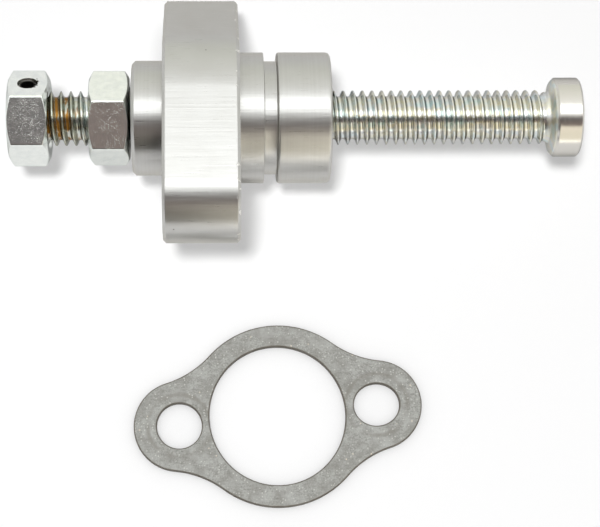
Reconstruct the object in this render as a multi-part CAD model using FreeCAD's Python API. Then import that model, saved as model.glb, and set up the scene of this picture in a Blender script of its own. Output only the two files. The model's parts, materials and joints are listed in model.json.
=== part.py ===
import FreeCAD, Part
import math
import os

os.makedirs("parts", exist_ok=True)

# A manual cam chain tensioner lying on a bench, with its flange gasket beside it.
# Millimetres. The origin is the centre of the flange's sealing face, on the screw's axis.
# +X points along the screw to its button, +Z is up. The flange rests on its lower flat.

# Screw, with the thread's outer diameter, and the button that its head was turned down to
screw_diameter = 7.94
screw_clearance = 0.05
screw_end_chamfer = 0.7
free_thread = 32.75
button_diameter = 11.6
button_height = 3.8
button_edge = 0.3
button_flare = 1.0

# Nuts: the lock nut behind the body and the head nut pinned to the screw's end
nut_across_flats = 12.1
nut_height = 5.75
nut_chamfer_angle = 30.0
nut_chamfer_inset = 0.2
lock_nut_gap = 0.4
nut_spacing = 5.8
lock_nut_turn = 29.2
head_nut_turn = 22.4

# Slotted spring pin through the head nut and the screw
pin_diameter = 2.8
pin_wall = 0.42
pin_slot = 0.55
pin_chamfer = 0.25
pin_recess = 0.35
pin_clearance = 0.03

# Body: rear boss, two-ear flange and spigot
flange_thickness = 10.9
flange_lobe_radius = 13.1
flange_ear_radius = 7.1
flange_edge = 0.44
bolt_spacing = 29.1
bolt_hole_diameter = 6.6
hole_edge = 0.35
boss_diameter = 16.65
boss_length = 4.55
boss_edge = 0.5
spigot_diameter = 19.0
spigot_length = 13.15
spigot_lead_length = 0.7
spigot_lead_depth = 0.65
groove_offset = 3.5
groove_width = 1.9
groove_depth = 1.28
groove_lip = 0.3
bore_mouth = 0.6

# Gasket, lying flat on the bench in front of the flange
gasket_thickness = 1.0
gasket_lobe_radius = 13.5
gasket_ear_radius = 6.65
gasket_flank_radius = 14.2
gasket_bore_diameter = 20.2
gasket_hole_diameter = 6.6
gasket_turn = 5.65
gasket_shift = 5.5
gasket_gap = 7.85

# Places along the axis
flange_rear = -flange_thickness
boss_rear = flange_rear - boss_length
lock_nut_rear = boss_rear - lock_nut_gap - nut_height
head_nut_rear = lock_nut_rear - nut_spacing - nut_height
head_nut_middle = head_nut_rear + nut_height / 2
button_rear = spigot_length + free_thread
tip = button_rear + button_height

# Shared radii and angles
bolt_reach = bolt_spacing / 2
bore_radius = screw_diameter / 2 + screw_clearance
pin_hole_radius = pin_diameter / 2 + pin_clearance
flank_angle = math.degrees(math.asin((flange_lobe_radius - flange_ear_radius) / bolt_reach))
pin_lean = head_nut_turn - 60.0

CENTRE = FreeCAD.Vector(0, 0, 0)
ALONG = FreeCAD.Vector(1, 0, 0)
UP = FreeCAD.Vector(0, 0, 1)
DIAGONAL = FreeCAD.Vector(1, 1, 1)


def turned(profile):
    """A solid of revolution about X from the corners (x, radius) of its half section."""
    corners = [FreeCAD.Vector(x, radius, 0) for x, radius in profile]
    outline = Part.makePolygon(corners + corners[:1])
    return Part.Face(outline).revolve(CENTRE, ALONG, 360)


def drilled(radius, start, end, edge):
    """A cutter for a through hole along X, with both mouths chamfered."""
    return turned([
        (start, 0), (start, radius + edge), (start + edge, radius),
        (end - edge, radius), (end, radius + edge), (end, 0),
    ])


def stood_on_axis(shape, turn, start):
    """Bring a shape drawn along Z onto the X axis, turned about it, from the place start."""
    shape.rotate(CENTRE, DIAGONAL, 120)
    shape.rotate(CENTRE, ALONG, turn)
    shape.translate(ALONG * start)
    return shape


def two_ear_plate(lobe_radius, ear_radius, lobe_point, ear_point, flank_middle, thickness):
    """A plate with a round lobe and two ears, from where a flank leaves the lobe and meets the ear.

    The flank is straight, or an arc through flank_middle where that is given.
    """
    def place(point, across, along):
        return FreeCAD.Vector(point[0] * across, point[1] * along, 0)

    def arc(first, middle, last):
        return Part.Arc(first, middle, last).toShape()

    def flank(across, along):
        ends = [place(lobe_point, across, along), place(ear_point, across, along)]
        if across == along:
            ends.reverse()
        if flank_middle is None:
            return Part.LineSegment(*ends).toShape()
        return arc(ends[0], place(flank_middle, across, along), ends[1])

    edges = []
    for side in (1, -1):
        lobe_top = FreeCAD.Vector(0, side * lobe_radius, 0)
        ear_tip = FreeCAD.Vector(-side * (bolt_reach + ear_radius), 0, 0)
        edges.append(arc(place(lobe_point, side, side), lobe_top, place(lobe_point, -side, side)))
        edges.append(flank(-side, side))
        edges.append(arc(place(ear_point, -side, side), ear_tip, place(ear_point, -side, -side)))
        edges.append(flank(-side, -side))
    return Part.Face(Part.Wire(edges)).extrude(UP * thickness)


def level_edges(shape, heights):
    """The edges that lie flat at one of the given heights."""
    def lies_at(edge, height):
        box = edge.BoundBox
        return abs(box.ZMin - height) < 1e-6 and abs(box.ZMax - height) < 1e-6

    return [edge for edge in shape.Edges if any(lies_at(edge, height) for height in heights)]


def flange_plate():
    """The flange: lobe and ears joined by straight flanks, with one flank level underneath."""
    across = math.sin(math.radians(flank_angle))
    along = math.cos(math.radians(flank_angle))
    lobe_point = (flange_lobe_radius * across, flange_lobe_radius * along)
    ear_point = (bolt_reach + flange_ear_radius * across, flange_ear_radius * along)
    plate = two_ear_plate(
        flange_lobe_radius, flange_ear_radius, lobe_point, ear_point, None, flange_thickness)
    plate = plate.makeChamfer(flange_edge, level_edges(plate, (0, flange_thickness)))
    return stood_on_axis(plate, -flank_angle, flange_rear)


def bolt_holes():
    """Cutters for the flange's two bolt holes."""
    holes = []
    for side in (1, -1):
        hole = drilled(bolt_hole_diameter / 2, flange_rear, 0, hole_edge)
        hole.translate(FreeCAD.Vector(0, side * bolt_reach, 0))
        hole.rotate(CENTRE, ALONG, -flank_angle)
        holes.append(hole)
    return holes


def body():
    """Boss, flange and spigot in one piece, with the bore for the screw."""
    boss_radius = boss_diameter / 2
    spigot_radius = spigot_diameter / 2
    groove_radius = spigot_radius - groove_depth
    groove_end = groove_offset + groove_width
    inside_flange = -flange_thickness / 2
    core = turned([
        (boss_rear, 0), (boss_rear, boss_radius - boss_edge), (boss_rear + boss_edge, boss_radius),
        (inside_flange, boss_radius), (inside_flange, spigot_radius),
        (groove_offset, spigot_radius), (groove_offset, groove_radius),
        (groove_end, groove_radius), (groove_end, spigot_radius - groove_lip),
        (groove_end + groove_lip, spigot_radius),
        (spigot_length - spigot_lead_length, spigot_radius),
        (spigot_length, spigot_radius - spigot_lead_depth), (spigot_length, 0),
    ])
    bore = drilled(bore_radius, boss_rear, spigot_length, bore_mouth)
    return core.fuse(flange_plate()).cut([bore] + bolt_holes()).removeSplitter()


def nut(turn, rear):
    """A hex nut chamfered on both faces, one flat leaning turn degrees back from upright."""
    flat_reach = nut_across_flats / 2
    corner_reach = flat_reach / math.cos(math.radians(30))
    corners = []
    for step in range(7):
        angle = math.radians(30 + 60 * step)
        corners.append(FreeCAD.Vector(corner_reach * math.cos(angle), corner_reach * math.sin(angle), 0))
    prism = Part.Face(Part.makePolygon(corners)).extrude(UP * nut_height)
    prism = stood_on_axis(prism, 90 + turn, rear)
    front = rear + nut_height
    face_radius = flat_reach - nut_chamfer_inset
    chamfer = (corner_reach - face_radius) * math.tan(math.radians(nut_chamfer_angle))
    envelope = turned([
        (rear, 0), (rear, face_radius), (rear + chamfer, corner_reach),
        (front - chamfer, corner_reach), (front, face_radius), (front, 0),
    ])
    return prism.common(envelope).cut(drilled(bore_radius, rear, front, bore_mouth))


def across_head(shape):
    """Turn a shape drawn along Z to the pin's line, square to a flat of the head nut."""
    shape.rotate(CENTRE, ALONG, pin_lean)
    shape.translate(ALONG * head_nut_middle)
    return shape


def pin_hole():
    """Cutter for the pin's hole right through the head nut."""
    start = FreeCAD.Vector(0, 0, -nut_across_flats)
    return across_head(Part.makeCylinder(pin_hole_radius, 2 * nut_across_flats, start, UP))


def roll_pin():
    """A rolled spring pin: a slotted tube with chamfered ends, just short of the nut's flats."""
    outer = pin_diameter / 2
    inner = outer - pin_wall
    half_length = nut_across_flats / 2 - pin_recess
    tube = turned([
        (-half_length, inner), (-half_length, outer - pin_chamfer), (-half_length + pin_chamfer, outer),
        (half_length - pin_chamfer, outer), (half_length, outer - pin_chamfer), (half_length, inner),
    ])
    slot = Part.makeBox(2 * half_length, outer, pin_slot)
    slot.translate(FreeCAD.Vector(-half_length, 0, -pin_slot / 2))
    pin = tube.cut(slot)
    pin.rotate(CENTRE, DIAGONAL, 240)
    return across_head(pin)


def adjuster_screw():
    """The screw from its pinned end to the button, which it widens to in a short flare."""
    screw_radius = screw_diameter / 2
    button_radius = button_diameter / 2
    screw = turned([
        (head_nut_rear, 0), (head_nut_rear, screw_radius - screw_end_chamfer),
        (head_nut_rear + screw_end_chamfer, screw_radius), (button_rear - button_flare, screw_radius),
        (button_rear, button_radius - button_edge), (button_rear + button_edge, button_radius),
        (tip - button_edge, button_radius), (tip, button_radius - button_edge), (tip, 0),
    ])
    return screw.cut(pin_hole())


def flange_gasket():
    """The gasket: lobe and ears joined by hollow flanks, pierced for the spigot and the bolts."""
    lobe_to_flank = gasket_lobe_radius + gasket_flank_radius
    ear_to_flank = gasket_ear_radius + gasket_flank_radius
    flank_x = (bolt_reach ** 2 + lobe_to_flank ** 2 - ear_to_flank ** 2) / (2 * bolt_reach)
    flank_y = math.sqrt(lobe_to_flank ** 2 - flank_x ** 2)
    lobe_share = gasket_lobe_radius / lobe_to_flank
    ear_share = gasket_ear_radius / ear_to_flank
    lobe_point = (flank_x * lobe_share, flank_y * lobe_share)
    ear_point = (bolt_reach + (flank_x - bolt_reach) * ear_share, flank_y * ear_share)
    inward_x = (lobe_point[0] + ear_point[0]) / 2 - flank_x
    inward_y = (lobe_point[1] + ear_point[1]) / 2 - flank_y
    shorten = gasket_flank_radius / math.hypot(inward_x, inward_y)
    flank_middle = (flank_x + inward_x * shorten, flank_y + inward_y * shorten)
    plate = two_ear_plate(
        gasket_lobe_radius, gasket_ear_radius, lobe_point, ear_point, flank_middle, gasket_thickness)
    for place, diameter in (
        (-bolt_reach, gasket_hole_diameter), (0, gasket_bore_diameter), (bolt_reach, gasket_hole_diameter),
    ):
        plate = plate.cut(Part.makeCylinder(diameter / 2, gasket_thickness, FreeCAD.Vector(place, 0, 0)))
    ear_front = bolt_reach * math.cos(math.radians(flank_angle)) + flange_ear_radius
    plate.rotate(CENTRE, UP, gasket_turn)
    plate.translate(FreeCAD.Vector(
        gasket_shift, -(ear_front + gasket_gap + gasket_lobe_radius), -flange_lobe_radius))
    return plate


pieces = {
    "body": body(),
    "adjuster_screw": adjuster_screw(),
    "lock_nut": nut(lock_nut_turn, lock_nut_rear),
    "head_nut": nut(head_nut_turn, head_nut_rear).cut(pin_hole()),
    "roll_pin": roll_pin(),
    "flange_gasket": flange_gasket(),
}
for name, shape in pieces.items():
    shape.exportStep("parts/" + name + ".step")
    print(name, "valid", shape.isValid(), "solids", len(shape.Solids), "mm3", round(shape.Volume, 1))
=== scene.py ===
import json
import math

import bmesh
import bpy
from mathutils import Matrix, Vector


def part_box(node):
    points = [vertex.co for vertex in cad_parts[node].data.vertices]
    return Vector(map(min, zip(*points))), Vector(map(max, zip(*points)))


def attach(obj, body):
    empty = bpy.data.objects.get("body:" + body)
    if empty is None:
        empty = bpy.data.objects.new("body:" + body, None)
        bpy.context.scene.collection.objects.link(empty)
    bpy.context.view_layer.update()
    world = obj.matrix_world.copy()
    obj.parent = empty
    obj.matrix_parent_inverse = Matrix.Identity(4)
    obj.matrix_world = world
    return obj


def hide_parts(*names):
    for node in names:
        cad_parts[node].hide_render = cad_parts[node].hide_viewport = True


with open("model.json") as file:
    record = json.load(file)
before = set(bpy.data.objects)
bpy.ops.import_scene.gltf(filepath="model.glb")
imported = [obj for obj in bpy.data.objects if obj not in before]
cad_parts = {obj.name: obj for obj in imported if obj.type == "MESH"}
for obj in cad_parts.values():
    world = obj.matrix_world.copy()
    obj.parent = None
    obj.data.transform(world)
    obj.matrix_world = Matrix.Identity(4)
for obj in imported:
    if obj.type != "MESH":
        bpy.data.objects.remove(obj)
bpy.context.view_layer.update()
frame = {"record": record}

# The finish of a manual cam chain tensioner and its gasket. Sizes are in millimetres.
MILLIMETRE = 0.001


def node_box(node):
    """The lowest and highest corner of a CAD node, in millimetres."""
    low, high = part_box(node)
    return low / MILLIMETRE, high / MILLIMETRE


mounts = {mount["name"]: mount for mount in frame["record"]["mounts"]}
body_low, body_high = node_box("body")
screw_low, screw_high = node_box("adjuster_screw")
head_low, head_high = node_box("head_nut")
gasket_low, gasket_high = node_box("flange_gasket")

# Body
boss_rear = body_low.x
spigot_end = body_high.x
flange_rear = -10.9
lobe_radius = body_high.z
ear_radius = 7.1
flange_edge = 0.44
flange_face_inset = 1.2
bolt_reach = mounts["flange_bolts"]["dims"]["pcd_mm"] / 2
bolt_hole_radius = mounts["flange_bolts"]["dims"]["hole_r_mm"]
hole_edge = 0.35
hole_margin = 0.25
flank_angle = math.asin((lobe_radius - ear_radius) / bolt_reach)
boss_radius = 8.325
boss_edge = 0.5
boss_root_round = 0.1
spigot_radius = mounts["spigot"]["dims"]["r_mm"]
spigot_root_round = 0.12
spigot_nose_round = 0.7
groove_start = 3.5
groove_end = 5.4
groove_radius = spigot_radius - 1.28
groove_edge_round = 0.1
groove_floor_round = 0.2
groove_lip_round = 0.4
bore_radius = 4.02
bore_mouth = 0.6
mouth_radius = bore_radius + bore_mouth
face_margin = 0.5
crisp_edge = 0.09

# Screw: shares of the thread's depth and of its half pitch give the rolled form
thread_radius = 3.97
thread_pitch = 25.4 / 18
thread_depth = 0.6134 * thread_pitch
thread_crest_at = 15.105
crest_from = 0.86
crest_drop = 0.05
root_until = 0.42
root_hollow = 0.12
run_out = 0.7 * thread_pitch
thread_steps = 16
screw_segments = 96
screw_end_chamfer = 0.7
button_length = 3.8
button_rear = screw_high.x - button_length
button_radius = screw_high.z
button_edge = 0.3
button_edge_round = 0.12
button_corner_round = 0.1
button_flare = 1.0
neck_radius = thread_radius - 0.4 * thread_depth
neck_foot = 0.35
neck_rise = 0.12
neck_round = 0.5
flare_step = 0.25
flare_drop = 0.45
flare_round = 0.15
lip_step = 0.2
button_middle_radius = 0.5
residue_end = -22.4

# Nuts and pin
nut_across_flats = 12.1
nut_face_radius = nut_across_flats / 2 - 0.2
nut_chamfer_slope = math.tan(math.radians(30))
nut_least_chamfer = 0.02
nut_corner_round = 0.38
nut_edge_round = 0.15
nut_bore_round = 0.05
lock_nut_turn = 29.2
head_nut_turn = 22.4
pin_radius = 1.4
pin_wall = 0.42
pin_slot = 0.55
pin_chamfer = 0.25
pin_recess = 0.35
pin_hole_radius = 1.43
pin_hole_flare = 0.06
pin_lean = math.radians(head_nut_turn - 60)
pin_middle = (head_low.x + head_high.x) / 2

# Gasket: each punched hole has its place, half width and half height, a little out of round
gasket_lobe_radius = 13.5
gasket_ear_radius = 6.65
gasket_flank_radius = 14.2
gasket_turn = math.radians(5.65)
gasket_centre = (gasket_low + gasket_high) / 2
gasket_bore = (-0.12, 9.98, 10.27)
gasket_left_hole = (-bolt_reach, 3.28, 3.32)
gasket_right_hole = (bolt_reach, 3.36, 3.14)
gasket_outer_roll = 0.32
gasket_hole_roll = 0.6
gasket_under_round = 0.05
gasket_edge_band = 0.56
washer_mark_radius = 4.6

# How finely round forms are drawn and how shading is smoothed
turned_segments = 192
bolt_hole_segments = 96
pin_hole_segments = 48
arc_step = math.radians(2.5)
corner_steps = 4
corner_limit = 0.48
roll_steps = 6
weld_distance = 0.002
sharp_angle = math.radians(50)
normal_weight = 60

# Colours of the finishes
aluminium_dark = (0.492, 0.488, 0.472)
aluminium_light = (0.547, 0.547, 0.536)
aluminium_ring = (0.36, 0.35, 0.33)
aluminium_nick = (0.8, 0.79, 0.77)
aluminium_pit = (0.12, 0.11, 0.1)
aluminium_rim_tint = (0.7, 0.68, 0.64)
zinc_dark = (0.83, 0.855, 0.83)
zinc_light = (0.9, 0.92, 0.89)
# Dark pits of the zinc, and also the painted shade in the pin's hole
zinc_pit_and_hole_shade = (0.07, 0.065, 0.055)
zinc_rim_tint = (0.4, 0.41, 0.4)
zinc_bloom = (
    (0.3, (0.61, 0.71, 0.69)), (0.42, (0.69, 0.72, 0.71)), (0.5, (0.73, 0.71, 0.6)),
    (0.58, (0.69, 0.685, 0.68)), (0.7, (0.61, 0.71, 0.72)),
)
oily_zinc = (0.3, 0.3, 0.21)
button_tone = (0.65, 0.63, 0.59)
thread_lock = (0.24, 0.115, 0.02)
screw_rim_tint = (0.38, 0.38, 0.38)
steel_dark = (0.03, 0.03, 0.025)
steel_light = (0.07, 0.065, 0.06)
steel_rim = (0.36, 0.35, 0.33)
fibre_dark = (0.165, 0.165, 0.15)
fibre_light = (0.4, 0.4, 0.374)
fibre_thread = (0.42, 0.425, 0.4)
fibre_mottle = (0.21, 0.205, 0.185)
fibre_pale = (0.47, 0.475, 0.455)
fibre_mark = (0.2, 0.19, 0.165)
fibre_sparkle = (0.6, 0.6, 0.56)
fibre_fleck = (0.6, 0.54, 0.45)
# Painted shade for the gasket's die-cut edge walls
painted_edge_shade = (0.105, 0.092, 0.071)


def rounded(corners, steps=corner_steps):
    """An open line through corners (a, b, radius), each inner corner rounded by its radius."""
    line = [corners[0][:2]]
    for before, corner, after in zip(corners, corners[1:], corners[2:]):
        here = Vector(corner[:2])
        back = Vector(before[:2]) - here
        ahead = Vector(after[:2]) - here
        if corner[2] == 0:
            line.append(tuple(here))
            continue
        turn = math.pi - back.angle(ahead)
        reach = corner[2] * math.tan(turn / 2)
        reach = min(reach, corner_limit * back.length, corner_limit * ahead.length)
        first = here + back.normalized() * reach
        last = here + ahead.normalized() * reach
        for step in range(steps + 1):
            t = step / steps
            line.append(tuple(first.lerp(here, t).lerp(here.lerp(last, t), t)))
    line.append(corners[-1][:2])
    return line


class Shell:
    """A mesh put together from loops of points in millimetres."""

    def __init__(self):
        self.mesh = bmesh.new()

    def loop(self, points):
        return [self.mesh.verts.new(Vector(point)) for point in points]

    def bridge(self, first, second, closed=True):
        """Quads between two loops with as many points each."""
        count = len(first)
        for k in range(count if closed else count - 1):
            after = (k + 1) % count
            self.mesh.faces.new((first[k], first[after], second[after], second[k]))

    def stack(self, loops):
        for first, second in zip(loops, loops[1:]):
            self.bridge(first, second)

    def fill(self, *loops):
        """A flat face inside the first loop and outside the others."""
        edges = []
        for loop in loops:
            for k, vertex in enumerate(loop):
                after = loop[(k + 1) % len(loop)]
                edge = self.mesh.edges.get((vertex, after)) or self.mesh.edges.new((vertex, after))
                edges.append(edge)
        bmesh.ops.triangle_fill(self.mesh, use_beauty=True, use_dissolve=False, edges=edges)

    def cap(self, loop):
        self.mesh.faces.new(loop)

    def weld(self, distance=1e-5):
        bmesh.ops.remove_doubles(self.mesh, verts=self.mesh.verts, dist=distance)
        bmesh.ops.dissolve_degenerate(self.mesh, edges=self.mesh.edges, dist=distance)

    def piece(self, name):
        """The finished object, in metres."""
        bmesh.ops.recalc_face_normals(self.mesh, faces=self.mesh.faces)
        bmesh.ops.scale(self.mesh, vec=(MILLIMETRE,) * 3, verts=self.mesh.verts)
        data = bpy.data.meshes.new(name)
        self.mesh.to_mesh(data)
        self.mesh.free()
        return finished(data, name)


def finished(data, name):
    """Link a mesh as an object with smooth, face-weighted shading."""
    data.shade_smooth()
    data.set_sharp_from_angle(angle=sharp_angle)
    piece = bpy.data.objects.new(name, data)
    bpy.context.scene.collection.objects.link(piece)
    weighted = piece.modifiers.new("weighted_normals", "WEIGHTED_NORMAL")
    weighted.keep_sharp = True
    weighted.weight = normal_weight
    return piece


def around(x, radius, count=turned_segments):
    """A circle of points about the screw's axis."""
    points = []
    for k in range(count):
        angle = 2 * math.pi * k / count
        points.append((x, radius * math.cos(angle), radius * math.sin(angle)))
    return points


def arc_points(centre, radius, start, end, outward):
    """Points of an arc with the plate's outward normal at each."""
    count = max(2, math.ceil(abs(end - start) / arc_step))
    points = []
    for k in range(count + 1):
        angle = start + (end - start) * k / count
        direction = Vector((math.cos(angle), math.sin(angle)))
        points.append((Vector(centre) + radius * direction, outward * direction))
    return points


def straight_outline():
    """The flange's outline: a lobe and two ears joined by straight flanks."""
    quarter = math.pi / 2
    points = []
    for half in (0, math.pi):
        side = math.cos(half)
        points += arc_points(
            (0, 0), lobe_radius, half + quarter - flank_angle, half + quarter + flank_angle, 1)
        points += arc_points(
            (-side * bolt_reach, 0), ear_radius,
            half + quarter + flank_angle, half + 3 * quarter - flank_angle, 1)
    return points


def hollow_outline():
    """The gasket's outline: a lobe and two ears joined by hollow flanks."""
    to_lobe = gasket_lobe_radius + gasket_flank_radius
    to_ear = gasket_ear_radius + gasket_flank_radius
    flank_x = (bolt_reach ** 2 + to_lobe ** 2 - to_ear ** 2) / (2 * bolt_reach)
    flank_y = math.sqrt(to_lobe ** 2 - flank_x ** 2)
    from_lobe = math.atan2(flank_y, flank_x)
    from_ear = math.atan2(flank_y, bolt_reach - flank_x)
    points = []
    for half in (0, math.pi):
        side = math.cos(half)
        upper = (-side * flank_x, side * flank_y)
        lower = (-side * flank_x, -side * flank_y)
        points += arc_points(
            (0, 0), gasket_lobe_radius, half + from_lobe, half + math.pi - from_lobe, 1)
        points += arc_points(
            upper, gasket_flank_radius, half - from_lobe, half + from_ear - math.pi, -1)[1:-1]
        points += arc_points(
            (-side * bolt_reach, 0), gasket_ear_radius,
            half + from_ear, half + 2 * math.pi - from_ear, 1)
        points += arc_points(
            lower, gasket_flank_radius, half + math.pi - from_ear, half + from_lobe, -1)[1:-1]
    return points


def flange_place(x, point):
    """A point of the flange's plane, with the flange leaning so that a flank lies level."""
    u, v = point
    cosine = math.cos(flank_angle)
    sine = math.sin(flank_angle)
    return (x, u * cosine + v * sine, v * cosine - u * sine)


def flange_rim(shell):
    """The flange's chamfered outline, from its sealing face to its rear face."""
    rim = rounded([
        (0, flange_face_inset, 0), (0, flange_edge, crisp_edge), (-flange_edge, 0, crisp_edge),
        (flange_rear + flange_edge, 0, crisp_edge), (flange_rear, flange_edge, crisp_edge),
        (flange_rear, flange_face_inset, 0),
    ])
    outline = straight_outline()
    loops = []
    for x, inset in rim:
        loops.append(shell.loop([flange_place(x, point - inset * normal) for point, normal in outline]))
    shell.stack(loops)
    return loops


def turned_core(shell):
    """The spigot with its groove, the bore and the boss, from the sealing face to the rear face."""
    core = rounded([
        (0, spigot_radius + face_margin, 0), (0, spigot_radius, spigot_root_round),
        (groove_start, spigot_radius, groove_edge_round), (groove_start, groove_radius, groove_floor_round),
        (groove_end, groove_radius, groove_floor_round), (groove_end, spigot_radius, groove_lip_round),
        (spigot_end, spigot_radius, spigot_nose_round), (spigot_end, mouth_radius, crisp_edge),
        (spigot_end - bore_mouth, bore_radius, crisp_edge),
        (boss_rear + bore_mouth, bore_radius, crisp_edge), (boss_rear, mouth_radius, crisp_edge),
        (boss_rear, boss_radius - boss_edge, crisp_edge), (boss_rear + boss_edge, boss_radius, crisp_edge),
        (flange_rear, boss_radius, boss_root_round), (flange_rear, boss_radius + face_margin, 0),
    ])
    loops = [shell.loop(around(x, radius)) for x, radius in core]
    shell.stack(loops)
    return loops


def bolt_hole(shell, side):
    """One bolt hole through the flange, chamfered at both faces."""
    mouth = bolt_hole_radius + hole_edge
    section = rounded([
        (0, mouth + hole_margin, 0), (0, mouth, crisp_edge),
        (-hole_edge, bolt_hole_radius, crisp_edge), (flange_rear + hole_edge, bolt_hole_radius, crisp_edge),
        (flange_rear, mouth, crisp_edge), (flange_rear, mouth + hole_margin, 0),
    ])
    loops = []
    for x, radius in section:
        points = []
        for k in range(bolt_hole_segments):
            angle = 2 * math.pi * k / bolt_hole_segments
            across = side * bolt_reach + radius * math.cos(angle)
            points.append(flange_place(x, (across, radius * math.sin(angle))))
        loops.append(shell.loop(points))
    shell.stack(loops)
    return loops


def build_body():
    """Boss, flange and spigot as one closed shell with rounded edges."""
    shell = Shell()
    front = []
    rear = []
    for loops in (flange_rim(shell), turned_core(shell), bolt_hole(shell, 1), bolt_hole(shell, -1)):
        front.append(loops[0])
        rear.append(loops[-1])
    shell.fill(*front)
    shell.fill(*rear)
    return shell.piece("tensioner_body")


def thread_radius_at(phase):
    """The rolled thread's radius at a share of one pitch: a narrow crest and a broad round root."""
    away = abs((phase % 1.0) - 0.5) * 2
    if away > crest_from:
        drop = crest_drop * ((1 - away) / (1 - crest_from)) ** 2
    elif away > root_until:
        flank = 1 - root_hollow - crest_drop
        drop = crest_drop + flank * (crest_from - away) / (crest_from - root_until)
    else:
        drop = 1 - root_hollow + root_hollow * (1 - (away / root_until) ** 2)
    return thread_radius - thread_depth * drop


def thread_rows(shell, start, end):
    """The helical thread, row by row, cut off at both ends and running out into the neck."""
    turns_before = math.ceil((thread_crest_at - start) / thread_pitch) + 1
    first_crest = thread_crest_at - turns_before * thread_pitch
    rows = math.ceil((end - first_crest) / thread_pitch) * thread_steps
    grid = []
    for row in range(rows + 1):
        points = []
        for k in range(screw_segments + 1):
            share = k / screw_segments
            x = first_crest + (row / thread_steps + share) * thread_pitch
            x = min(max(x, start), end)
            radius = thread_radius_at((x - thread_crest_at) / thread_pitch - share)
            left = min(1.0, (end - x) / run_out)
            radius = neck_radius + (radius - neck_radius) * left
            radius = min(radius, thread_radius - screw_end_chamfer + (x - start))
            angle = 2 * math.pi * share
            points.append((x, radius * math.cos(angle), radius * math.sin(angle)))
        grid.append(shell.loop(points))
    for first, second in zip(grid, grid[1:]):
        shell.bridge(first, second, closed=False)


def build_screw():
    """The full thread, the turned button with its flared neck and the cut end as one closed shell."""
    shell = Shell()
    end = button_rear - button_flare
    thread_rows(shell, screw_low.x, end)
    tip = screw_high.x
    lip = button_radius - button_edge
    button = rounded([
        (end, neck_radius, 0), (end + neck_foot, neck_radius + neck_rise, neck_round),
        (button_rear - flare_step, lip - flare_drop, flare_round),
        (button_rear - lip_step, lip - lip_step, button_corner_round),
        (button_rear, lip, button_corner_round),
        (button_rear + button_edge, button_radius, button_edge_round),
        (tip - button_edge, button_radius, button_edge_round),
        (tip, lip, button_corner_round), (tip, button_middle_radius, 0),
    ])
    loops = [shell.loop(around(x, radius, screw_segments)) for x, radius in button]
    shell.stack(loops)
    shell.cap(loops[-1])
    shell.weld()
    rear = [edge for edge in shell.mesh.edges if edge.is_boundary]
    bmesh.ops.triangle_fill(shell.mesh, use_beauty=True, use_dissolve=False, edges=rear)
    return shell.piece("push_screw")


def hexagon():
    """The nut's outline with softly rounded corners."""
    sixth = math.radians(60)
    reach = nut_across_flats / 2 - nut_corner_round
    half_flat = reach * math.tan(sixth / 2)
    points = []
    for side in range(6):
        flat = math.radians(60 * side)
        corner = Vector((reach / math.cos(sixth / 2), 0))
        corner.rotate(Matrix.Rotation(flat + sixth / 2, 2))
        corner_arc = arc_points(corner, nut_corner_round, flat, flat + sixth, 1)
        points += [point for point, normal in corner_arc[::3]]
        middle = Vector((math.cos(flat + sixth), math.sin(flat + sixth)))
        along = Vector((-middle.y, middle.x))
        for quarter in (-3, -2, -1, 0, 1, 2, 3):
            points.append(middle * nut_across_flats / 2 + along * half_flat * quarter / 4)
    return points


def build_nut(name, node, turn):
    """A hex nut, chamfered on both faces, with rounded corners and a countersunk bore."""
    low, high = node_box(node)
    length = high.x - low.x
    lean = math.radians(90 + turn)
    shell = Shell()
    columns = []
    for point in hexagon():
        reach = point.length
        chamfer = max(nut_least_chamfer, (reach - nut_face_radius) * nut_chamfer_slope)
        angle = math.atan2(point.y, point.x) + lean
        section = rounded([
            (length / 2, bore_radius, 0), (bore_mouth, bore_radius, nut_bore_round),
            (0, mouth_radius, nut_bore_round), (0, nut_face_radius, nut_edge_round),
            (chamfer, reach, nut_edge_round), (length - chamfer, reach, nut_edge_round),
            (length, nut_face_radius, nut_edge_round), (length, mouth_radius, nut_bore_round),
            (length - bore_mouth, bore_radius, nut_bore_round), (length / 2, bore_radius, 0),
        ])
        columns.append(shell.loop([
            (low.x + x, radius * math.cos(angle), radius * math.sin(angle)) for x, radius in section]))
    for first, second in zip(columns, columns[1:] + columns[:1]):
        shell.bridge(first, second, closed=False)
    shell.weld()
    return shell.piece(name)


def along_pin(x, across, along):
    """A point on the pin: x along the screw, then across the pin and along it."""
    cosine = math.cos(pin_lean)
    sine = math.sin(pin_lean)
    return (x, across * cosine - along * sine, across * sine + along * cosine)


def build_pin():
    """The rolled spring pin: a slotted tube with chamfered ends."""
    half_length = nut_across_flats / 2 - pin_recess
    gap = math.asin(pin_slot / 2 / pin_radius)
    open_end = 2 * math.pi - gap
    shell = Shell()
    loops = []
    for along, inset in (
        (-half_length, pin_chamfer), (-half_length + pin_chamfer, 0),
        (half_length - pin_chamfer, 0), (half_length, pin_chamfer),
    ):
        ring = arc_points((0, 0), pin_radius - inset, gap, open_end, 1)[::2]
        ring += arc_points((0, 0), pin_radius - pin_wall, open_end, gap, 1)[::2]
        loops.append(shell.loop([along_pin(pin_middle + point.x, point.y, along) for point, normal in ring]))
    shell.stack(loops)
    shell.cap(loops[0])
    shell.cap(loops[-1])
    return shell.piece("spring_pin")


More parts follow.
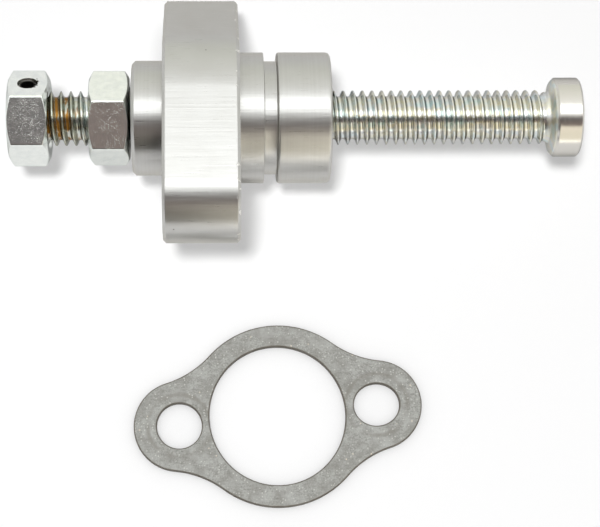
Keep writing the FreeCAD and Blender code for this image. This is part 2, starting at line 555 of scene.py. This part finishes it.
def pin_drill():
    """The cutter for the pin's hole, flared where it crosses the nut's flats."""
    far = nut_across_flats
    edge = nut_across_flats / 2
    flare = pin_hole_flare
    wide = pin_hole_radius + 2 * flare
    shell = Shell()
    loops = []
    for along, reach in (
        (-far, wide), (-edge - flare, wide), (flare - edge, pin_hole_radius),
        (edge - flare, pin_hole_radius), (edge + flare, wide), (far, wide),
    ):
        points = []
        for k in range(pin_hole_segments):
            angle = 2 * math.pi * (k + 0.5) / pin_hole_segments
            points.append(along_pin(pin_middle + reach * math.cos(angle), reach * math.sin(angle), along))
        loops.append(shell.loop(points))
    shell.stack(loops)
    shell.cap(loops[0])
    shell.cap(loops[-1])
    cutter = shell.piece("cutter")
    cutter.modifiers.clear()
    return cutter


def drilled(piece):
    """A piece with the pin's hole cut through it."""
    name = piece.name
    cutter = pin_drill()
    piece.modifiers.clear()
    cut = piece.modifiers.new("drill", "BOOLEAN")
    cut.operation = "DIFFERENCE"
    cut.solver = "EXACT"
    cut.object = cutter
    graph = bpy.context.evaluated_depsgraph_get()
    data = bpy.data.meshes.new_from_object(piece.evaluated_get(graph))
    cleaned = bmesh.new()
    cleaned.from_mesh(data)
    bmesh.ops.remove_doubles(cleaned, verts=cleaned.verts, dist=weld_distance * MILLIMETRE)
    bmesh.ops.dissolve_degenerate(cleaned, edges=cleaned.edges, dist=weld_distance * MILLIMETRE)
    cleaned.to_mesh(data)
    cleaned.free()
    bpy.data.objects.remove(piece)
    bpy.data.objects.remove(cutter)
    return finished(data, name)


def gasket_place(point, z):
    """A point of the gasket's plane, turned and laid on the bench."""
    u, v = point
    cosine = math.cos(gasket_turn)
    sine = math.sin(gasket_turn)
    return (gasket_centre.x + u * cosine - v * sine, gasket_centre.y + u * sine + v * cosine, z)


def gasket_edge(roll):
    """The section of a die-cut edge (inset, height), rolled over at the top."""
    bottom = gasket_low.z
    top = gasket_high.z
    return rounded([
        (gasket_edge_band, bottom, 0), (0, bottom, gasket_under_round), (0, top, roll),
        (gasket_edge_band, top, 0)], roll_steps)


def build_gasket():
    """The gasket: a flat sheet with die-rolled edges."""
    shell = Shell()
    outline = hollow_outline()
    loops = []
    for inset, z in gasket_edge(gasket_outer_roll):
        loops.append(shell.loop([gasket_place(point - inset * normal, z) for point, normal in outline]))
    shell.stack(loops)
    lower = [loops[0]]
    upper = [loops[-1]]
    for place, half_width, half_height in (gasket_left_hole, gasket_bore, gasket_right_hole):
        loops = []
        for inset, z in gasket_edge(gasket_hole_roll):
            points = []
            for k in range(turned_segments):
                angle = 2 * math.pi * k / turned_segments
                u = place + (half_width + inset) * math.cos(angle)
                v = (half_height + inset) * math.sin(angle)
                points.append(gasket_place((u, v), z))
            loops.append(shell.loop(points))
        shell.stack(loops)
        lower.append(loops[0])
        upper.append(loops[-1])
    shell.fill(*lower)
    shell.fill(*upper)
    return shell.piece("gasket_sheet")


class Nodes:
    """A node tree with short ways to add and join nodes."""

    def __init__(self, tree):
        self.tree = tree

    def join(self, socket, value):
        if isinstance(value, bpy.types.NodeSocket):
            self.tree.links.new(value, socket)
        else:
            socket.default_value = value

    def add(self, kind, settings=None, **inputs):
        made = self.tree.nodes.new(kind)
        for key, value in (settings or {}).items():
            setattr(made, key, value)
        for key, value in inputs.items():
            self.join(made.inputs[key.replace("_", " ")], value)
        return made

    def calc(self, operation, first, second=0.0):
        """The result of one operation on one or two values."""
        made = self.add("ShaderNodeMath", {"operation": operation})
        self.join(made.inputs[0], first)
        self.join(made.inputs[1], second)
        return made.outputs[0]

    def times(self, first, second):
        return self.calc("MULTIPLY", first, second)

    def rescale(self, value, low, high, to_low=0.0, to_high=1.0):
        """A value rescaled from one range to another and held within it."""
        made = self.add(
            "ShaderNodeMapRange", Value=value, From_Min=low, From_Max=high, To_Min=to_low, To_Max=to_high)
        return made.outputs["Result"]

    def colours(self, value, stops):
        """Colours along a value from 0 to 1."""
        made = self.add("ShaderNodeValToRGB", Fac=value)
        elements = made.color_ramp.elements
        while len(elements) < len(stops):
            elements.new(0.5)
        for element, (position, colour) in zip(elements, stops):
            element.position = position
            element.color = (*colour, 1)
        return made.outputs["Color"]

    def blend(self, share, first, second):
        """One colour over another by a share."""
        made = self.add("ShaderNodeMix", {"data_type": "RGBA"})
        for socket, value in zip((made.inputs[0], made.inputs[6], made.inputs[7]), (share, first, second)):
            self.join(socket, (*value, 1) if isinstance(value, tuple) else value)
        return made.outputs[2]

    def stretched(self, place, scale):
        return self.add("ShaderNodeMapping", Vector=place, Scale=scale).outputs["Vector"]


class Material(Nodes):
    """A surface with its place in millimetres ready for patterns."""

    def __init__(self, name):
        self.data = bpy.data.materials.new(name)
        self.data.use_nodes = True
        super().__init__(self.data.node_tree)
        self.shader = self.tree.nodes["Principled BSDF"]
        spot = self.add("ShaderNodeTexCoord")
        self.place = self.stretched(spot.outputs["Object"], (1 / MILLIMETRE,) * 3)
        apart = self.add("ShaderNodeSeparateXYZ", Vector=self.place)
        self.x, self.y, self.z = apart.outputs

    def noise(self, scale, detail, grain=(1.0, 1.0, 1.0)):
        """Soft noise with so many lumps a millimetre, times its grain along each axis."""
        place = self.stretched(self.place, grain)
        return self.add("ShaderNodeTexNoise", Vector=place, Scale=scale, Detail=detail).outputs["Fac"]

    def specks(self, scale, reach, share, core=0.5):
        """Small round spots of a radius, flat in their core, in a share of the cells of a loose grid."""
        cells = self.add("ShaderNodeTexVoronoi", Vector=self.place, Scale=scale)
        near = self.rescale(cells.outputs["Distance"], reach * scale, reach * scale * core)
        chosen = self.add("ShaderNodeSeparateColor", Color=cells.outputs["Color"])
        return self.times(near, self.calc("LESS_THAN", chosen.outputs[0], share))

    def radius(self):
        """Distance from the screw's axis."""
        across = self.stretched(self.place, (0, 1, 1))
        return self.add("ShaderNodeVectorMath", {"operation": "LENGTH"}, Vector=across).outputs["Value"]

    def distance(self, centre):
        """Distance from a point."""
        away = self.add("ShaderNodeVectorMath", {"operation": "SUBTRACT"})
        self.join(away.inputs[0], self.place)
        self.join(away.inputs[1], centre)
        length = self.add("ShaderNodeVectorMath", {"operation": "LENGTH"}, Vector=away.outputs[0])
        return length.outputs["Value"]

    def bump(self, height, depth, under=None):
        """Relief of a depth in micrometres, on top of another relief."""
        made = self.add("ShaderNodeBump", Height=height, Distance=depth * 1e-6, Strength=1.0)
        if under is not None:
            self.join(made.inputs["Normal"], under)
        return made.outputs["Normal"]

    def shade(self, **inputs):
        for key, value in inputs.items():
            name = key.replace("_", " ")
            self.join(self.shader.inputs[name], (*value, 1) if isinstance(value, tuple) else value)


def turning_rings(surface):
    """Fine rings about the screw's axis, along it on round sides and outward on end faces."""
    normal = surface.add("ShaderNodeNewGeometry").outputs["Normal"]
    facing = surface.add("ShaderNodeSeparateXYZ", Vector=normal)
    is_face = surface.calc("GREATER_THAN", surface.calc("ABSOLUTE", facing.outputs[0]), 0.9)
    place = surface.add("ShaderNodeMix", Factor=is_face, A=surface.x, B=surface.radius())
    rings = surface.add(
        "ShaderNodeTexNoise", {"noise_dimensions": "1D"}, W=place.outputs["Result"], Scale=2.5, Detail=6.0)
    return rings.outputs["Fac"]


def edge_nicks(surface):
    """Small bright nicks along the chamfer of the flange's sealing face."""
    nicks = surface.rescale(surface.noise(scale=1.1, detail=4.0), 0.6, 0.64)
    on_edge = surface.times(
        surface.rescale(surface.x, -0.62, -0.5), surface.rescale(surface.x, 0.0, -0.03))
    return surface.times(nicks, on_edge)


def off_flange(surface):
    """1 on the turned boss and spigot, 0 on the milled flange."""
    middle = flange_rear / 2
    away = surface.calc("ABSOLUTE", surface.calc("SUBTRACT", surface.x, middle))
    return surface.calc("GREATER_THAN", away, 0.02 - middle)


def machined_aluminium():
    """Satin aluminium: turning rings, fine polishing streaks along the axis and a few dark pits."""
    surface = Material("machined_aluminium")
    rings = turning_rings(surface)
    streaks = surface.noise(scale=1.0, detail=5.0, grain=(0.25, 6.0, 6.0))
    lines = surface.noise(scale=1.0, detail=3.0, grain=(0.06, 2.4, 2.4))
    cloud = surface.noise(scale=0.3, detail=3.0)
    pits = surface.specks(scale=0.4, reach=0.16, share=0.3)
    nicks = edge_nicks(surface)
    ring_shade = surface.times(surface.rescale(rings, 0.35, 0.65, 0.12, 0.0), off_flange(surface))
    tone = surface.blend(cloud, aluminium_dark, aluminium_light)
    tone = surface.blend(ring_shade, tone, aluminium_ring)
    tone = surface.blend(nicks, tone, aluminium_nick)
    tone = surface.blend(pits, tone, aluminium_pit)
    relief = surface.bump(rings, depth=3.0)
    relief = surface.bump(streaks, depth=6.0, under=relief)
    relief = surface.bump(lines, depth=11.0, under=relief)
    relief = surface.bump(nicks, depth=-60.0, under=relief)
    surface.shade(
        Base_Color=tone, Metallic=1.0, Specular_Tint=aluminium_rim_tint,
        Roughness=surface.rescale(streaks, 0.25, 0.75, 0.26, 0.36), Normal=relief)
    return surface.data


def front_flat(node, turn, up):
    """A point on a nut's front flat, so far up from its middle."""
    low, high = node_box(node)
    lean = math.radians(90 + turn)
    out = nut_across_flats / 2
    y = out * math.cos(lean) + up * math.sin(lean)
    z = out * math.sin(lean) - up * math.cos(lean)
    return ((low.x + high.x) / 2, y, z)


def zinc_nut(name, fleck_share, fleck_depth, fleck_centre, fleck_reach, shaded_pin_hole):
    """Bright zinc plate: a soft orange peel, clusters of small raised flecks, a few dark pits and, where
    asked, painted shade in the pin's hole.
    """
    surface = Material(name)
    peel = surface.noise(scale=1.1, detail=1.0)
    cluster = surface.rescale(surface.noise(scale=0.5, detail=3.0), 0.36, 0.6)
    patch = surface.rescale(surface.distance(fleck_centre), fleck_reach, 0.4 * fleck_reach)
    cluster = surface.calc("MAXIMUM", cluster, patch)
    coarse = surface.specks(scale=4.6, reach=0.1, share=fleck_share, core=0.0)
    fine = surface.specks(scale=7.4, reach=0.065, share=fleck_share, core=0.0)
    flecks = surface.times(surface.calc("ADD", coarse, fine), cluster)
    cloud = surface.noise(scale=0.9, detail=4.0)
    pits = surface.specks(scale=0.5, reach=0.1, share=0.18)
    tone = surface.blend(surface.rescale(cloud, 0.35, 0.65), zinc_dark, zinc_light)
    tone = surface.blend(pits, tone, zinc_pit_and_hole_shade)
    # Painted shade in the pin's hole, in the pit colour
    if shaded_pin_hole:
        tone = surface.blend(pin_hole_shade(surface), tone, zinc_pit_and_hole_shade)
    relief = surface.bump(peel, depth=5.0)
    relief = surface.bump(flecks, depth=fleck_depth, under=relief)
    surface.shade(
        Base_Color=tone, Metallic=1.0, Specular_Tint=zinc_rim_tint,
        Roughness=surface.rescale(cloud, 0.3, 0.7, 0.13, 0.2), Normal=relief)
    return surface.data


def pin_distance(surface):
    """Distance from the pin's axis."""
    along = surface.calc("SUBTRACT", surface.x, pin_middle)
    across = surface.calc(
        "ADD", surface.times(surface.y, math.cos(pin_lean)), surface.times(surface.z, math.sin(pin_lean)))
    squares = surface.calc("ADD", surface.times(along, along), surface.times(across, across))
    return surface.calc("SQRT", squares)


def pin_hole_shade(surface):
    """Painted shade: the wall of the pin's hole darkened, ragged past its mouth on one side."""
    along = surface.calc("SUBTRACT", surface.x, pin_middle)
    ragged = surface.rescale(surface.noise(scale=2.4, detail=3.0), 0.45, 0.7, 0.0, 0.5)
    ragged = surface.times(ragged, surface.rescale(along, 0.3, 1.3))
    away = surface.calc("SUBTRACT", pin_distance(surface), ragged)
    return surface.rescale(away, pin_hole_radius + 0.04, pin_hole_radius - 0.02)


def zinc_screw():
    """Zinc plate with a faint bloom of colours, and brown thread lock dried in the roots by the head nut."""
    surface = Material("zinc_screw")
    x = surface.x
    radius = surface.radius()
    by_head = surface.times(
        surface.rescale(x, residue_end, residue_end - 1.2),
        surface.rescale(x, screw_low.x + 1.0, screw_low.x + 1.6))
    on_button = surface.rescale(x, button_rear - 0.1, button_rear + 0.1)
    on_neck = surface.calc("SUBTRACT", surface.rescale(x, button_rear - 1.5, button_rear - 1.1), on_button)
    on_crest = surface.rescale(radius, thread_radius - 0.16, thread_radius - 0.04)
    on_crest = surface.times(on_crest, surface.rescale(on_button, 0.0, 1.0, 1.0, 0.0))
    deep = surface.rescale(
        radius, thread_radius - 0.86 * thread_depth, thread_radius - 0.96 * thread_depth)
    patchy = surface.noise(scale=1.0, detail=2.0, grain=(0.7, 0.35, 0.35))
    patchy = surface.rescale(patchy, 0.44, 0.52)
    residue = surface.times(surface.times(deep, patchy), by_head)
    bloom = surface.noise(scale=0.5, detail=3.0, grain=(0.35, 1.0, 1.0))
    tone = surface.colours(bloom, zinc_bloom)
    tone = surface.blend(surface.times(by_head, 0.5), tone, oily_zinc)
    tone = surface.blend(on_button, tone, button_tone)
    tone = surface.blend(residue, tone, thread_lock)
    grain = surface.noise(scale=1.0, detail=3.0, grain=(5.0, 1.2, 1.2))
    dents = surface.times(surface.noise(scale=4.0, detail=2.0), on_crest)
    relief = surface.bump(grain, depth=6.0)
    relief = surface.bump(dents, depth=22.0, under=relief)
    rough = surface.rescale(grain, 0.3, 0.7, 0.14, 0.26)
    rough = surface.calc("ADD", rough, surface.times(on_neck, 0.2))
    surface.shade(
        Base_Color=tone, Metallic=surface.rescale(residue, 0, 1, 1, 0.7),
        Specular_Tint=screw_rim_tint, Roughness=rough, Normal=relief)
    return surface.data


def spring_steel():
    """Dark oiled spring steel with a brighter worn rim."""
    surface = Material("spring_steel")
    wear = surface.noise(scale=3.0, detail=3.0)
    rim = surface.rescale(pin_distance(surface), pin_radius - 0.3, pin_radius - 0.2)
    tone = surface.blend(wear, steel_dark, steel_light)
    surface.shade(
        Base_Color=surface.blend(rim, tone, steel_rim), Metallic=1.0,
        Roughness=surface.rescale(wear, 0.3, 0.7, 0.5, 0.3), Normal=surface.bump(wear, depth=8.0))
    return surface.data


def washer_mark(surface):
    """The faint ring that a washer has pressed around each bolt hole."""
    marks = 0.0
    for place in (gasket_left_hole[0], gasket_right_hole[0]):
        centre = gasket_place((place, 0), gasket_high.z)
        off_ring = surface.calc("SUBTRACT", surface.distance(centre), washer_mark_radius)
        off_ring = surface.calc("ABSOLUTE", off_ring)
        marks = surface.calc("ADD", marks, surface.rescale(off_ring, 0.45, 0.1))
    worn = surface.rescale(surface.noise(scale=0.22, detail=2.0), 0.36, 0.54)
    return surface.times(marks, worn)


def gasket_fibre():
    """Compressed fibre sheet: mottled grey with pale flecks, and painted shade that darkens the die-cut
    edges further below the top.
    """
    surface = Material("gasket_sheet")
    grain = surface.noise(scale=5.0, detail=4.0)
    threads = surface.noise(scale=1.0, detail=4.0, grain=(0.9, 3.2, 3.2))
    mottle = surface.noise(scale=0.55, detail=4.0)
    pale = surface.noise(scale=0.36, detail=5.0)
    sparkle = surface.specks(scale=2.4, reach=0.13, share=0.4)
    flecks = surface.specks(scale=0.8, reach=0.16, share=0.25)
    mark = washer_mark(surface)
    fibre = surface.blend(surface.rescale(grain, 0.3, 0.7), fibre_dark, fibre_light)
    fibre = surface.blend(surface.rescale(threads, 0.35, 0.65, 0.0, 0.45), fibre, fibre_thread)
    fibre = surface.blend(surface.rescale(mottle, 0.4, 0.62, 0.0, 0.6), fibre, fibre_mottle)
    fibre = surface.blend(surface.rescale(pale, 0.5, 0.66, 0.0, 0.36), fibre, fibre_pale)
    fibre = surface.blend(surface.times(mark, 0.6), fibre, fibre_mark)
    fibre = surface.blend(surface.times(sparkle, 0.7), fibre, fibre_sparkle)
    fibre = surface.blend(flecks, fibre, fibre_fleck)
    # Painted shade: the die-cut edge walls darken the further they lie below the top face
    shade_depth = surface.calc("SUBTRACT", gasket_high.z, surface.z)
    shade_depth = surface.times(shade_depth, surface.rescale(grain, 0.3, 0.7, 0.6, 1.6))
    on_edge = surface.rescale(shade_depth, 0.002, 0.03, 0.0, 0.92)
    relief = surface.bump(grain, depth=30.0)
    relief = surface.bump(mark, depth=-40.0, under=relief)
    surface.shade(Base_Color=surface.blend(on_edge, fibre, painted_edge_shade), Roughness=0.6, Normal=relief)
    return surface.data


def dress(piece, body, node, material):
    """Put a piece in place of a CAD node, on the body that carries it."""
    piece.data.materials.clear()
    piece.data.materials.append(material)
    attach(piece, body)
    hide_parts(node)


dress(build_body(), "housing", "body", machined_aluminium())
dress(build_screw(), "adjuster", "adjuster_screw", zinc_screw())
lock_nut = build_nut("clamp_nut", "lock_nut", lock_nut_turn)
lock_nut_zinc = zinc_nut(
    "zinc_lock_nut", fleck_share=0.35, fleck_depth=20.0,
    fleck_centre=front_flat("lock_nut", lock_nut_turn, up=0.3), fleck_reach=2.4, shaded_pin_hole=False)
dress(lock_nut, "lock_nut", "lock_nut", lock_nut_zinc)
head_nut = drilled(build_nut("wrench_nut", "head_nut", head_nut_turn))
head_nut_zinc = zinc_nut(
    "zinc_head_nut", fleck_share=0.5, fleck_depth=9.0,
    fleck_centre=front_flat("head_nut", head_nut_turn, up=1.4), fleck_reach=3.0, shaded_pin_hole=True)
dress(head_nut, "adjuster", "head_nut", head_nut_zinc)
dress(build_pin(), "adjuster", "roll_pin", spring_steel())
dress(build_gasket(), "housing", "flange_gasket", gasket_fibre())

# Camera, fitted to the photograph
scene = bpy.context.scene
camera_place = Vector((-4.292, -90.06, 249.868))
camera_azimuth = math.radians(-10.639)
camera_elevation = math.radians(74.519)
camera_roll = math.radians(9.877)
image_width_pixels = 600
focal_pixels = 1814.66
camera_data = bpy.data.cameras.new("camera")
camera_data.sensor_fit = "HORIZONTAL"
camera_data.sensor_width = 36.0
camera_data.lens = focal_pixels / image_width_pixels * camera_data.sensor_width
camera_data.clip_start = 0.01
camera = bpy.data.objects.new("camera", camera_data)
scene.collection.objects.link(camera)
scene.camera = camera
backward = Vector((
    math.sin(camera_azimuth) * math.cos(camera_elevation),
    -math.cos(camera_azimuth) * math.cos(camera_elevation), math.sin(camera_elevation)))
level = Vector((math.cos(camera_azimuth), math.sin(camera_azimuth), 0))
right = level * math.cos(camera_roll) + backward.cross(level) * math.sin(camera_roll)
turned = Matrix((right, backward.cross(right), backward)).transposed()
camera.matrix_world = Matrix.Translation(camera_place * MILLIMETRE) @ turned.to_4x4()

# Floor: within the lit reach the key lamp makes it white, and its glow takes over towards the dark reach
floor_colour = (0.96, 0.96, 0.96, 1)
floor_glow = 0.45
lit_reach = 120.0
dark_reach = 450.0
# Painted contact shade: ambient occlusion darkens the floor's colour within this reach
contact_shade_reach = 4.0
contact_shade_samples = 8
floor_reach = 3000.0


def white_floor():
    """A white sheet that keeps the soft shadow of what lies on it, with painted contact shade from ambient
    occlusion close to the objects.
    """
    surface = Material("floor")
    seen = surface.add("ShaderNodeLightPath").outputs
    direct = surface.calc("ADD", seen["Is Camera Ray"], seen["Is Glossy Ray"])
    direct = surface.calc("ADD", direct, seen["Is Transmission Ray"])
    painted_contact_shade = surface.add(
        "ShaderNodeAmbientOcclusion", {"samples": contact_shade_samples},
        Color=floor_colour, Distance=contact_shade_reach * MILLIMETRE)
    paper = surface.add("ShaderNodeBsdfDiffuse", Color=painted_contact_shade.outputs["Color"])
    glow = surface.add("ShaderNodeEmission", Color=(1, 1, 1, 1), Strength=1.0)
    share = surface.rescale(surface.distance((0, 0, body_low.z)), lit_reach, dark_reach, floor_glow, 1.0)
    mixed = surface.add("ShaderNodeMixShader", Fac=surface.times(direct, share))
    surface.join(mixed.inputs[1], paper.outputs[0])
    surface.join(mixed.inputs[2], glow.outputs[0])
    surface.join(surface.tree.nodes["Material Output"].inputs["Surface"], mixed.outputs[0])
    return surface.data


floor_data = bpy.data.meshes.new("floor")
floor_side = floor_reach * MILLIMETRE
floor_height = body_low.z * MILLIMETRE
floor_corners = [
    (x * floor_side, y * floor_side, floor_height) for x, y in ((-1, -1), (1, -1), (1, 1), (-1, 1))]
floor_data.from_pydata(floor_corners, [], [(0, 1, 2, 3)])
floor_data.materials.append(white_floor())
floor = bpy.data.objects.new("floor", floor_data)
scene.collection.objects.link(floor)

# Light: the studio's tones by the angle about the screw's axis, 0 above, 90 behind, -90 in front
scene.view_settings.view_transform = "Standard"
studio_tones = (
    (-100, (0.05, 0.047, 0.04)), (-68, (0.05, 0.047, 0.04)), (-55, (0.13, 0.112, 0.105)),
    (-39, (0.25, 0.2, 0.184)), (-27, (0.14, 0.126, 0.128)), (-20, (0.22, 0.21, 0.205)),
    (-11, (1.1, 1.1, 1.08)), (18, (1.25, 1.26, 1.24)), (42, (1.12, 1.12, 1.06)),
    (70, (0.99, 1.0, 0.92)), (100, (0.9, 0.91, 0.84)),
)


def studio():
    """Light from all around for shiny surfaces, a little weaker from the rear end of the screw."""
    world = bpy.data.worlds.new("studio")
    scene.world = world
    world.use_nodes = True
    world.cycles_visibility.diffuse = False
    sky = Nodes(world.node_tree)
    direction = sky.add("ShaderNodeTexCoord").outputs["Generated"]
    apart = sky.add("ShaderNodeSeparateXYZ", Vector=direction)
    angle = sky.calc("ARCTAN2", apart.outputs[1], apart.outputs[2])
    turn = sky.rescale(angle, -math.pi, math.pi)
    tones = sky.colours(turn, [((degrees + 180) / 360, tone) for degrees, tone in studio_tones])
    background = world.node_tree.nodes["Background"]
    sky.join(background.inputs["Color"], tones)
    sky.join(background.inputs["Strength"], sky.rescale(apart.outputs[0], -0.9, -0.4, 0.85, 1.0))


def softbox(name, place, target, size, tint, radiance):
    """An oblong lamp that the camera doesn't see, its long side along the screw, in metres."""
    lamp = bpy.data.lights.new(name, "AREA")
    lamp.shape = "RECTANGLE"
    lamp.size, lamp.size_y = size
    lamp.color = tint
    lamp.energy = radiance * math.pi * size[0] * size[1]
    box = bpy.data.objects.new(name, lamp)
    scene.collection.objects.link(box)
    box.location = place
    box.rotation_euler = (Vector(target) - Vector(place)).to_track_quat("-Z", "Y").to_euler()
    box.visible_camera = False
    return box


studio()
sheen = softbox(
    "overhead", place=(0, 0.056, 0.8), target=(0, 0, 0), size=(2.6, 0.37),
    tint=(0.97, 0.99, 1.0), radiance=1.6)
sheen.visible_diffuse = False
warm = softbox(
    "front", place=(0.25, -0.12, 0.052), target=(0.25, 0, 0.052), size=(0.5, 0.13),
    tint=(1.0, 0.94, 0.79), radiance=1.1)
warm.visible_diffuse = False
key = softbox(
    "key", place=(-0.075, -0.129, 0.675), target=(0, -0.02, 0), size=(0.09, 0.09),
    tint=(1.0, 1.0, 1.0), radiance=200)
key.visible_glossy = False
